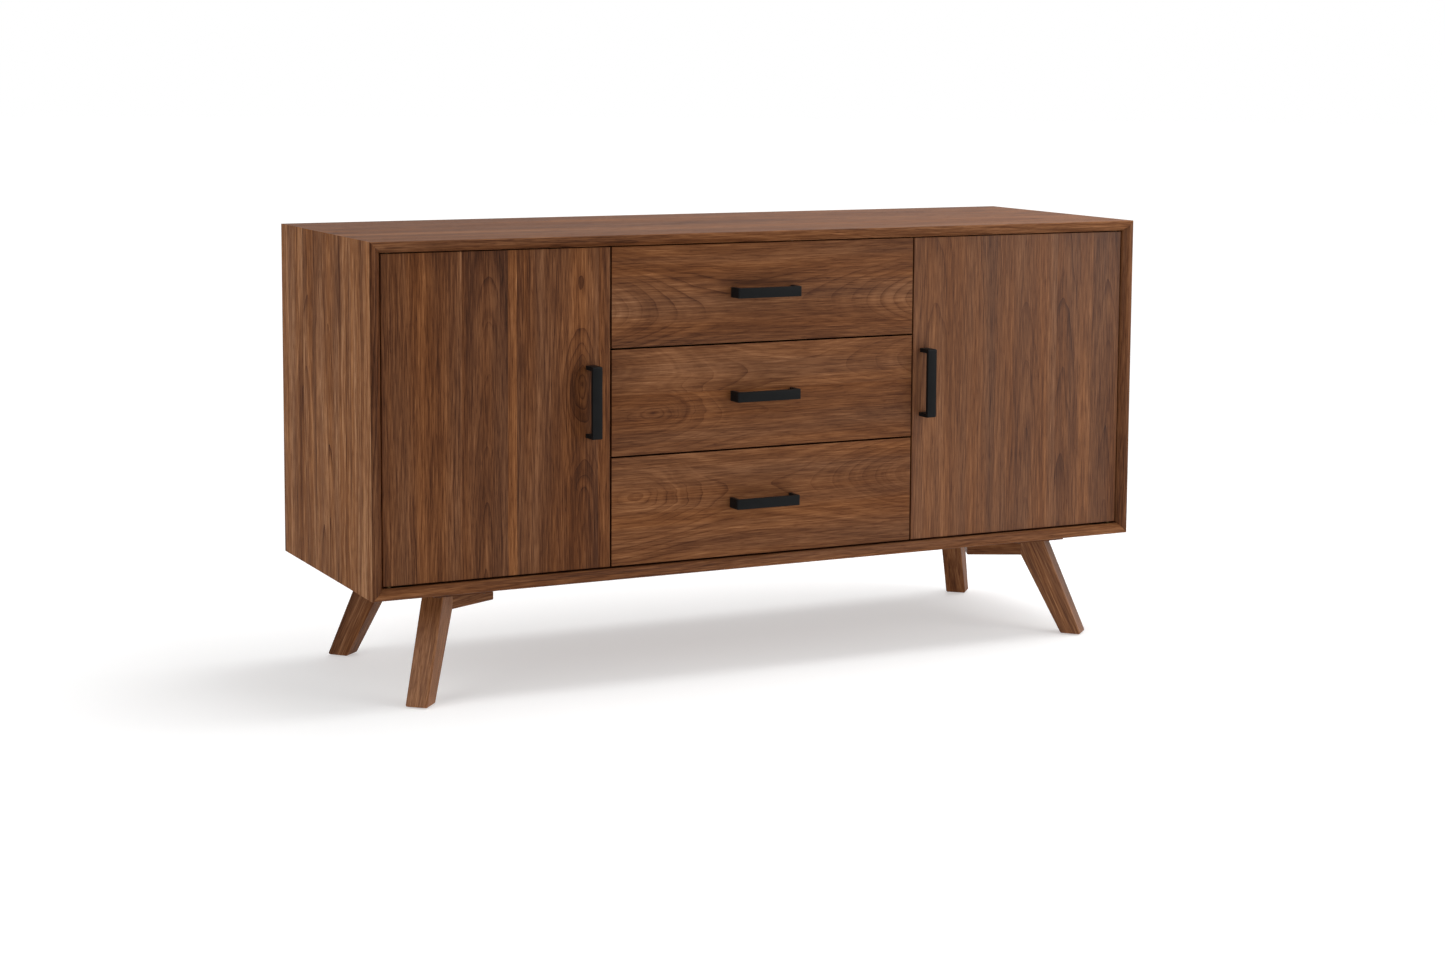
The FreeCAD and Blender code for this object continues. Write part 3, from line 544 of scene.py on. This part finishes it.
# ---------------------------------------------------------------- pulls
# Each pull is a flat steel bar bent into a U, coated matt black, and screwed from behind.
def black_coat():
    """Matt black powder coat: a faint orange peel and slightly polished patches."""
    made = bpy.data.materials.new("black_coat")
    made.use_nodes = True
    tree = made.node_tree
    shader = tree.nodes["Principled BSDF"]
    place = add(tree, "ShaderNodeTexCoord").outputs["Object"]
    grain = noise(tree, stretched(tree, place, 900, 900, 900), 1.0, 2.0)
    cloud = noise(tree, stretched(tree, place, 40, 40, 40), 2.0, 3.0)
    colour = ramp(tree, cloud, [(0.3, (0.0040, 0.0042, 0.0045)), (0.7, (0.0058, 0.0060, 0.0064))])
    tree.links.new(colour, shader.inputs["Base Color"])
    tree.links.new(remap(tree, cloud, 0.3, 0.7, 0.42, 0.54), shader.inputs["Roughness"])
    bump = add(tree, "ShaderNodeBump", {"Height": grain, "Strength": 0.25, "Distance": 0.0001})
    tree.links.new(bump.outputs["Normal"], shader.inputs["Normal"])
    shader.inputs["Specular IOR Level"].default_value = 0.10
    return made


BLACK = black_coat()
BAR = 0.007
BEND = 0.003
INNER_BEND = 0.0012
BAR_EDGE = 0.0008


def bar_pull(node, upright):
    """A U of flat bar: its two feet stand on the front and its bends are tight."""
    low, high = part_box(node)
    size = high - low
    length = size.z if upright else size.x
    width = size.x if upright else size.z
    reach = size.y
    bm = bmesh.new()
    outline = [(-length / 2, 0), (-length / 2, -reach), (length / 2, -reach), (length / 2, 0),
               (length / 2 - BAR, 0), (length / 2 - BAR, BAR - reach),
               (BAR - length / 2, BAR - reach), (BAR - length / 2, 0)]
    face = bm.faces.new([bm.verts.new((x, y, -width / 2)) for x, y in outline])
    grown = bmesh.ops.extrude_face_region(bm, geom=[face])["geom"]
    bmesh.ops.translate(bm, vec=(0, 0, width),
                        verts=[item for item in grown if isinstance(item, bmesh.types.BMVert)])
    soften(bm, BEND, 5, lambda a, b: abs(a.x - b.x) < NEAR and abs(a.y - b.y) < NEAR
           and abs(a.y + reach) < NEAR)
    soften(bm, INNER_BEND, 3, lambda a, b: abs(a.x - b.x) < NEAR and abs(a.y - b.y) < NEAR
           and abs(a.y - BAR + reach) < NEAR)
    soften(bm, BAR_EDGE, 3)
    turn = Matrix.Rotation(math.radians(90 if upright else 0), 4, "Y")
    centre = (low + high) / 2
    place = Matrix.Translation((centre.x, high.y, centre.z)) @ turn
    bmesh.ops.transform(bm, matrix=place, verts=bm.verts)
    return bm


for side in ("left", "right"):
    make("pull_%s_door" % side, bar_pull("pull_door_" + side, True), BLACK,
         "door_" + side, "black_pulls", "pull_door_" + side)
for level in ("top", "middle", "bottom"):
    make("pull_%s_drawer" % level, bar_pull("pull_drawer_" + level, False), BLACK,
         "drawer_" + level, "black_pulls", "pull_drawer_" + level)


# ---------------------------------------------------------------- slides, pins and pull screws
# The drawers run on ball bearing slides pressed from steel strip. They, the shelf pins and the
# screws that hold the pulls from behind are bright zinc plate.
def plain_metal(name, light, dark, roughness, brushed):
    """Plated or solid metal: faint brushing, a little tarnish."""
    made = bpy.data.materials.new(name)
    made.use_nodes = True
    tree = made.node_tree
    shader = tree.nodes["Principled BSDF"]
    place = add(tree, "ShaderNodeTexCoord").outputs["Object"]
    brush = noise(tree, stretched(tree, place, *brushed), 1.0, 3.0)
    cloud = noise(tree, stretched(tree, place, 60, 60, 60), 2.0, 3.0)
    tree.links.new(ramp(tree, cloud, [(0.3, dark), (0.7, light)]), shader.inputs["Base Color"])
    tree.links.new(remap(tree, brush, 0.3, 0.7, roughness - 0.06, roughness + 0.08),
                   shader.inputs["Roughness"])
    bump = add(tree, "ShaderNodeBump", {"Height": brush, "Strength": 0.15, "Distance": 0.00005})
    tree.links.new(bump.outputs["Normal"], shader.inputs["Normal"])
    shader.inputs["Metallic"].default_value = 1.0
    return made


def dress(node, finish):
    """Give a piece that keeps its own shape its finish."""
    materials = frame["nodes"][node].data.materials
    if not materials:
        materials.append(finish)
    for number in range(len(materials)):
        materials[number] = finish


ZINC = plain_metal("zinc_plate", (0.62, 0.63, 0.65), (0.48, 0.49, 0.52), 0.34, (300, 12, 300))
dress("slides_on_partitions", ZINC)
dress("shelf_pins", ZINC)
for side in ("left", "right"):
    dress("pull_screws_door_" + side, ZINC)
for level in ("top", "middle", "bottom"):
    dress("slide_middle_" + level, ZINC)
    dress("slide_drawer_" + level, ZINC)
    dress("pull_screws_drawer_" + level, ZINC)


# ---------------------------------------------------------------- hinges and back screws
# Flat knife hinges of browned brass, with two countersunk screws in each leaf. A row of zinc
# screws round the back panel holds it in its rabbet.
BRASS = plain_metal("brass", (0.15, 0.095, 0.04), (0.07, 0.045, 0.022), 0.5, (30, 400, 400))
for node in ("hinge_leaves_case", "hinge_leaves_door_left", "hinge_leaves_door_right"):
    dress(node, BRASS)
HEAD_DEPTH = 0.0016
HEAD_PROUD = 0.00015
HEAD_NARROW = 0.6
RECESS_RIM = 0.5
RECESS_SLOPE = 0.1
RECESS_DEEP = 0.6
HINGE_HEAD = 0.0026
BACK_HEAD = 0.0038
HINGE_SCREWS_AT = (0.018, 0.034)
BACK_SCREW_EDGE = 0.010
BACK_SCREWS_WIDE = 7
BACK_SCREWS_HIGH = 4


def join(bm, other):
    """Add another bmesh's shells to this one, and free the other."""
    shape = bpy.data.meshes.new("shell")
    other.to_mesh(shape)
    other.free()
    bm.from_mesh(shape)
    bpy.data.meshes.remove(shape)


def screw_head(bm, place, out, radius):
    """A countersunk head with its driver recess, a hair proud of the surface that faces out."""
    head = bmesh.new()
    bmesh.ops.create_cone(head, cap_ends=True, segments=20, radius1=radius * HEAD_NARROW,
                          radius2=radius, depth=HEAD_DEPTH)
    cap = max(head.faces, key=lambda face: face.calc_center_median().z)
    bmesh.ops.inset_region(head, faces=[cap], thickness=radius * RECESS_RIM)
    bmesh.ops.inset_region(head, faces=[cap], thickness=radius * RECESS_SLOPE,
                           depth=-HEAD_DEPTH * RECESS_DEEP)
    turn = Vector(out).to_track_quat("Z", "Y").to_matrix().to_4x4()
    lift = Vector(out) * (HEAD_PROUD - HEAD_DEPTH / 2)
    bmesh.ops.transform(head, matrix=Matrix.Translation(Vector(place) + lift) @ turn,
                        verts=head.verts)
    join(bm, head)


case_heads = bmesh.new()
for side, way in (("left", 1), ("right", -1)):
    x, y, _ = HINGE_AXES["door_" + side]
    low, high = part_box("door_" + side)
    door_heads = bmesh.new()
    for step in HINGE_SCREWS_AT:
        screw_head(door_heads, (x + way * step, y, high.z), (0, 0, 1), HINGE_HEAD)
        screw_head(door_heads, (x + way * step, y, low.z), (0, 0, -1), HINGE_HEAD)
        screw_head(case_heads, (x + way * step, y, CASE_HIGH.z - BOARD), (0, 0, -1), HINGE_HEAD)
        screw_head(case_heads, (x + way * step, y, CASE_LOW.z + BOARD), (0, 0, 1), HINGE_HEAD)
    make("hinge_screws_door_" + side, door_heads, BRASS, "door_" + side, "brass_hinges")
make("hinge_screws_case", case_heads, BRASS, "case", "brass_hinges")

low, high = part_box("back_panel")
low = low + Vector((BACK_SCREW_EDGE, 0, BACK_SCREW_EDGE))
high = high - Vector((BACK_SCREW_EDGE, 0, BACK_SCREW_EDGE))
back_heads = bmesh.new()
for number in range(BACK_SCREWS_WIDE):
    x = low.x + (high.x - low.x) * number / (BACK_SCREWS_WIDE - 1)
    for z in (low.z, high.z):
        screw_head(back_heads, (x, high.y, z), (0, 1, 0), BACK_HEAD)
for number in range(1, BACK_SCREWS_HIGH - 1):
    z = low.z + (high.z - low.z) * number / (BACK_SCREWS_HIGH - 1)
    for x in (low.x, high.x):
        screw_head(back_heads, (x, high.y, z), (0, 1, 0), BACK_HEAD)
make("back_screws", back_heads, ZINC, "case", "zinc_steel")


# ---------------------------------------------------------------- magnetic catches
# A brown moulding under the top holds a magnet between two steel poles. It meets a thin steel
# plate screwed to the back of the door.
CATCH_LONG = 0.046
HOUSING_LONG = 0.026
EAR_THICK = 0.003
EAR_OVERLAP = 0.001
EAR_BACK = 0.003
EAR_SHORT = 0.002
POLE_LIFT = 0.002
POLE_DROP = 0.003
POLE_SHORT = 0.004
POLE_THICK = 0.0015
POLE_APART = 0.016
POLE_PROUD = 0.0006
STRIKE_LONG = 0.040
STRIKE_HIGH = 0.010
STRIKE_THICK = 0.0008
STRIKE_SUNK = 0.0001
STRIKE_HEAD = 0.00192
STRIKE_SCREW_AT = 0.36
CATCH_HEAD = 0.0024
EAR_EDGE = 0.0006
HOUSING_EDGE = 0.0008
POLE_EDGE = 0.0002
STRIKE_EDGE = 0.0003


def moulded(name, light, dark, roughness):
    """Moulded plastic with a fine dull grain."""
    made = bpy.data.materials.new(name)
    made.use_nodes = True
    tree = made.node_tree
    shader = tree.nodes["Principled BSDF"]
    place = add(tree, "ShaderNodeTexCoord").outputs["Object"]
    grain = noise(tree, stretched(tree, place, 700, 700, 700), 1.0, 2.0)
    cloud = noise(tree, stretched(tree, place, 30, 30, 30), 2.0, 2.0)
    tree.links.new(ramp(tree, cloud, [(0.3, dark), (0.7, light)]), shader.inputs["Base Color"])
    tree.links.new(remap(tree, grain, 0.3, 0.7, roughness - 0.05, roughness + 0.05),
                   shader.inputs["Roughness"])
    bump = add(tree, "ShaderNodeBump", {"Height": grain, "Strength": 0.2, "Distance": 0.0001})
    tree.links.new(bump.outputs["Normal"], shader.inputs["Normal"])
    return made


CATCH_BROWN = moulded("catch_moulding", (0.060, 0.036, 0.022), (0.040, 0.024, 0.015), 0.5)


def bar(bm, low, high, radius):
    """One softened block among the shells of a piece."""
    piece = block(low, high)
    soften(piece, radius)
    join(bm, piece)


catches_low, catches_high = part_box("magnetic_catches")
housings = bmesh.new()
poles = bmesh.new()
catch_heads = bmesh.new()
for side, start in (("left", catches_low.x), ("right", catches_high.x - CATCH_LONG)):
    x = start + CATCH_LONG / 2
    front, rear = catches_low.y, catches_high.y
    ears_z = catches_high.z - EAR_THICK
    bar(housings, (x - HOUSING_LONG / 2, front + POLE_PROUD, catches_low.z),
        (x + HOUSING_LONG / 2, rear, catches_high.z), HOUSING_EDGE)
    for way in (-1, 1):
        inner = x + way * (HOUSING_LONG / 2 - EAR_OVERLAP)
        outer = x + way * CATCH_LONG / 2
        bar(housings, (min(inner, outer), front + EAR_BACK, ears_z),
            (max(inner, outer), rear - EAR_SHORT, catches_high.z), EAR_EDGE)
        screw_head(catch_heads, ((inner + outer) / 2, (front + rear) / 2, ears_z), (0, 0, -1),
                   CATCH_HEAD)
        pole = x + way * POLE_APART / 2
        bar(poles, (pole - POLE_THICK / 2, front, catches_low.z + POLE_LIFT),
            (pole + POLE_THICK / 2, rear - POLE_SHORT, catches_high.z - POLE_DROP), POLE_EDGE)
    strike = bmesh.new()
    middle_z = (catches_low.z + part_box("door_" + side)[1].z) / 2
    door_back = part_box("door_" + side)[1].y
    bar(strike, (x - STRIKE_LONG / 2, door_back - STRIKE_SUNK, middle_z - STRIKE_HIGH / 2),
        (x + STRIKE_LONG / 2, door_back + STRIKE_THICK, middle_z + STRIKE_HIGH / 2), STRIKE_EDGE)
    for way in (-1, 1):
        screw_at = x + way * STRIKE_LONG * STRIKE_SCREW_AT
        screw_head(strike, (screw_at, door_back + STRIKE_THICK, middle_z), (0, 1, 0), STRIKE_HEAD)
    make("strike_plate_" + side, strike, ZINC, "door_" + side, "zinc_steel")
make("catch_housings", housings, CATCH_BROWN, "case", "catch_plastic", "magnetic_catches")
make("catch_poles", poles, ZINC, "case", "zinc_steel")
make("catch_screws", catch_heads, ZINC, "case", "zinc_steel")


# ---------------------------------------------------------------- drawer boxes
# Birch boards with rounded top edges, glued up round a thin bottom that slides into grooves.
# The front is screwed on from inside.
EASED = 0.0025
SOFT_EDGE = 0.0004
GROOVE_PAST = 0.001
FRONT_HEAD = 0.0036
FRONT_SCREW_IN = 0.06
FRONT_SCREW_LIFT = 0.022


def birch(name, centre, turn, seed=0.0):
    """Pale clear-lacquered birch: quiet grain with fine short flecks."""
    made = bpy.data.materials.new(name)
    made.use_nodes = True
    tree = made.node_tree
    shader = tree.nodes["Principled BSDF"]
    place = add(tree, "ShaderNodeTexCoord").outputs["Object"]
    sockets = {"Vector": place, "Location": centre, "Rotation": turn}
    board = add(tree, "ShaderNodeMapping", sockets, vector_type="TEXTURE").outputs[0]
    broad = noise(tree, stretched(tree, board, 2, 26, 26), seed, 3.0, 0.55)
    fleck = noise(tree, stretched(tree, board, 40, 520, 520), seed, 2.0, 0.6)
    tone = sums(tree, "MULTIPLY_ADD", sums(tree, "SUBTRACT", fleck, 0.5), 0.35, broad)
    colour = ramp(tree, tone, [(0.25, (0.44, 0.29, 0.16)), (0.5, (0.56, 0.40, 0.24)),
                               (0.75, (0.66, 0.50, 0.33))])
    tree.links.new(colour, shader.inputs["Base Color"])
    tree.links.new(remap(tree, fleck, 0.3, 0.7, 0.40, 0.52), shader.inputs["Roughness"])
    bump = add(tree, "ShaderNodeBump", {"Height": fleck, "Strength": 0.2, "Distance": 0.0002})
    tree.links.new(bump.outputs["Normal"], shader.inputs["Normal"])
    shader.inputs["Specular IOR Level"].default_value = 0.35
    return made


def drawer_board(node, finish, body, panel=None):
    """A board with its top edges rounded, grooved for the bottom panel where it has one."""
    low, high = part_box(node)
    bm = block(low, high)
    soften(bm, EASED, 4, lambda a, b: min(a.z, b.z) > high.z - NEAR and abs(a.x - b.x) < NEAR)
    if "back" in node:
        soften(bm, EASED, 4, lambda a, b: min(a.z, b.z) > high.z - NEAR and abs(a.y - b.y) < NEAR)
    soften(bm, SOFT_EDGE, 1)
    piece = make(node.replace("drawer_", "box_"), bm, finish, body, "drawer_box_wood", node)
    if panel:
        panel_low, panel_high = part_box(panel)
        carve(piece, block(panel_low, panel_high + Vector((0, GROOVE_PAST, 0))))


for level in ("top", "middle", "bottom"):
    body = "drawer_" + level
    panel = "drawer_bottom_" + level
    for side, seed in (("left", 1.7), ("right", 5.2)):
        node = "drawer_side_%s_%s" % (side, level)
        finish = birch("birch_" + node, middle(node), LENGTH_Y_WIDTH_Z, seed + len(level))
        drawer_board(node, finish, body, panel)
    node = "drawer_back_" + level
    drawer_board(node, birch("birch_" + node, middle(node), LENGTH_X_WIDTH_Z, 4.0), body)
    dress(panel, birch("birch_" + panel, middle(panel), LENGTH_X_WIDTH_Y, 4.0))
    low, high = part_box(node)
    floor_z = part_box(panel)[1].z
    heads = bmesh.new()
    for x in (low.x + FRONT_SCREW_IN, high.x - FRONT_SCREW_IN):
        for z in (floor_z + FRONT_SCREW_LIFT, high.z - FRONT_SCREW_LIFT):
            screw_head(heads, (x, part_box("drawer_front_" + level)[1].y, z), (0, 1, 0), FRONT_HEAD)
    make("box_front_screws_" + level, heads, ZINC, body, "zinc_steel")


# ---------------------------------------------------------------- shelves and partitions
# Walnut-veneered boards inside the case, their edges eased so that they don't chip. The
# partitions stand in the case, the shelves lie on pins, and the back sits in its rabbet.
INNER_EDGE = 0.0008


def inner_walnut(name, node, turn, seed):
    """The quieter veneer of the inside."""
    return walnut("walnut_" + name, middle(node), turn, half=0.8, seed=seed, depth=0.06,
                  slope=0.03, tone=0.02, contrast=0.8)


def inner_board(node, name, turn, seed):
    """A shelf or a partition with eased edges."""
    bm = block(*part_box(node))
    soften(bm, INNER_EDGE, 2)
    make(name, bm, inner_walnut(name, node, turn, seed), "case", "inner_veneer", node)


inner_board("shelf_left", "cupboard_shelf_left", LENGTH_X_WIDTH_Y, 11.0)
inner_board("shelf_right", "cupboard_shelf_right", LENGTH_X_WIDTH_Y, 12.1)
inner_board("partition_left", "upright_left", LENGTH_Z_WIDTH_Y, 15.4)
inner_board("partition_right", "upright_right", LENGTH_Z_WIDTH_Y, 16.5)
dress("back_panel", inner_walnut("back_panel", "back_panel", LENGTH_X_WIDTH_Z, 11.3))


# ---------------------------------------------------------------- legs
# Each leg is a raked board of solid walnut set diagonally under a corner. A brace is mitred
# to its knee, and both are fixed to a plate that is screwed up into the bottom of the case with
# dull steel screws. The feet stand on nylon glides.
DULL_STEEL = plain_metal("dull_steel", (0.11, 0.105, 0.10), (0.07, 0.066, 0.062), 0.5,
                         (300, 300, 300))
dress("leg_plate_screws", DULL_STEEL)
dress("foot_glides", moulded("glide_nylon", (0.10, 0.09, 0.08), (0.06, 0.055, 0.05), 0.5))
dress("leg_plates", walnut("walnut_plates", (0, 0, CASE_LOW.z), LENGTH_X_WIDTH_Y, tone=-0.05))
LEG_TURN = 48.0
LEG_SPLAY = 0.489
LEG_RAKE = math.degrees(math.atan(LEG_SPLAY))
ARM_TURN = 25.6
# Painted light and shade: each leg's tone is set for the light on it, lightest on the front left leg, which
# faces the key lamp, and darkest on the back left leg, in shade under the case.
LEG_PAINTED_LIGHT_TONES = {"front_left": 0.20, "front_right": 0.10, "back_left": 0.0, "back_right": 0.08}
for corner, way_x, way_y in (("front_left", -1, -1), ("front_right", 1, -1),
                             ("back_left", -1, 1), ("back_right", 1, 1)):
    heading = 90 - 90 * way_x + way_x * way_y * LEG_TURN
    upright = Matrix.Rotation(math.radians(heading), 3, "Z")
    lean = Matrix.Rotation(math.radians(-90 - LEG_RAKE), 3, "Y")
    turn = (upright @ lean).to_euler()
    node = "leg_" + corner
    number = way_x + 2 * way_y
    dress(node, walnut("walnut_" + node, middle(node), turn, seed=20.0 + number * 2.3,
                       staves=[(0, 0.0, 0.04)], depth=0.04, slope=0.06, rings=230.0,
                       tone=LEG_PAINTED_LIGHT_TONES[corner], contrast=1.0,
                       sheen=0.2 if way_y < 0 else 0.05))
    node = "leg_arm_" + corner
    heading = 90 - 90 * way_x + way_x * way_y * ARM_TURN
    dress(node, walnut("walnut_" + node, middle(node), (0, 0, math.radians(heading)),
                       seed=30.0 + number * 1.9, staves=[(0, 0.0, 0.02)], depth=0.05, tone=0.08))


# ---------------------------------------------------------------- room
# A plain pale floor that fades to white, soft studio light, and the camera.
FLOOR_REACH = 40.0
floor_mesh = bmesh.new()
bmesh.ops.create_circle(floor_mesh, cap_ends=True, radius=FLOOR_REACH, segments=64)
mesh = bpy.data.meshes.new("floor")
floor_mesh.to_mesh(mesh)
floor_mesh.free()
floor = bpy.data.objects.new("floor", mesh)
bpy.context.scene.collection.objects.link(floor)
paint = bpy.data.materials.new("floor_white")
paint.use_nodes = True
tree = paint.node_tree
shader = tree.nodes["Principled BSDF"]
shader.inputs["Roughness"].default_value = 0.9
shader.inputs["Specular IOR Level"].default_value = 0.0
shader.inputs["Emission Color"].default_value = (1, 1, 1, 1)
shader.inputs["Emission Strength"].default_value = 0.44
place = add(tree, "ShaderNodeTexCoord").outputs["Object"]
mottle = noise(tree, stretched(tree, place, 1.5, 1.5, 1.5), 1.0)
tree.links.new(ramp(tree, mottle, [(0.3, (0.66, 0.66, 0.66)), (0.7, (0.68, 0.68, 0.68))]),
               shader.inputs["Base Color"])
far = add(tree, "ShaderNodeVectorMath", {0: place}, operation="LENGTH").outputs["Value"]
glow = add(tree, "ShaderNodeEmission", {"Color": (1, 1, 1, 1), "Strength": 1.1}).outputs[0]
fade = remap(tree, far, 1.4, 3.2, smooth=True)
mixed = add(tree, "ShaderNodeMixShader", {0: fade, 1: shader.outputs[0], 2: glow}).outputs[0]
tree.links.new(mixed, tree.nodes["Material Output"].inputs["Surface"])
mesh.materials.append(paint)

world = bpy.data.worlds.new("studio")
world.use_nodes = True
bpy.context.scene.world = world
tree = world.node_tree
back = tree.nodes["Background"]
back.inputs["Color"].default_value = (1, 1, 1, 1)
direction = add(tree, "ShaderNodeTexCoord").outputs["Generated"]
rightward = add(tree, "ShaderNodeSeparateXYZ", {0: direction}).outputs[0]
tree.links.new(remap(tree, rightward, -0.3, 0.8, 0.22, 0.86, smooth=True),
               back.inputs["Strength"])
seen = add(tree, "ShaderNodeBackground", {"Color": (1, 1, 1, 1), "Strength": 1.0}).outputs[0]
eye = add(tree, "ShaderNodeLightPath").outputs["Is Camera Ray"]
mixed = add(tree, "ShaderNodeMixShader", {0: eye, 1: back.outputs[0], 2: seen}).outputs[0]
tree.links.new(mixed, tree.nodes["World Output"].inputs["Surface"])


def softbox(name, place, target, width, height, power):
    """A rectangular lamp at a place, turned to its target."""
    lamp = bpy.data.lights.new(name, "AREA")
    lamp.shape = "RECTANGLE"
    lamp.size = width
    lamp.size_y = height
    lamp.energy = power
    box = bpy.data.objects.new(name, lamp)
    box.location = place
    box.rotation_euler = (Vector(target) - Vector(place)).to_track_quat("-Z", "Y").to_euler()
    bpy.context.scene.collection.objects.link(box)


softbox("overhead", (0.8, 0.1, 3.3), (0.2, 0, 0.4), 3.0, 2.4, 78)
softbox("right_top", (2.1, -0.2, 2.1), (0.6, 0, 0.8), 1.2, 1.2, 15)
softbox("left_key", (-3.6, -1.2, 2.0), (0, 0, 0.4), 2.4, 2.0, 47)
softbox("right_fill", (2.6, -3.0, 1.7), (0.5, 0, 0.5), 1.8, 1.8, 36)

camera = bpy.data.objects.new("camera", bpy.data.cameras.new("camera"))
bpy.context.scene.collection.objects.link(camera)
camera.data.sensor_width = 36
camera.data.lens = 63.96
camera.data.shift_y = -0.1038
camera.data.clip_end = 200
yaw, pitch, roll = math.radians(26.398), math.radians(6.149), math.radians(0.33)
camera.matrix_world = (Matrix.Translation((-2.116, -4.2754, 1.1097))
                       @ Matrix.Rotation(-yaw, 4, "Z")
                       @ Matrix.Rotation(math.radians(90) - pitch, 4, "X")
                       @ Matrix.Rotation(roll, 4, "Z"))
bpy.context.scene.camera = camera
bpy.context.scene.view_settings.view_transform = "Standard"
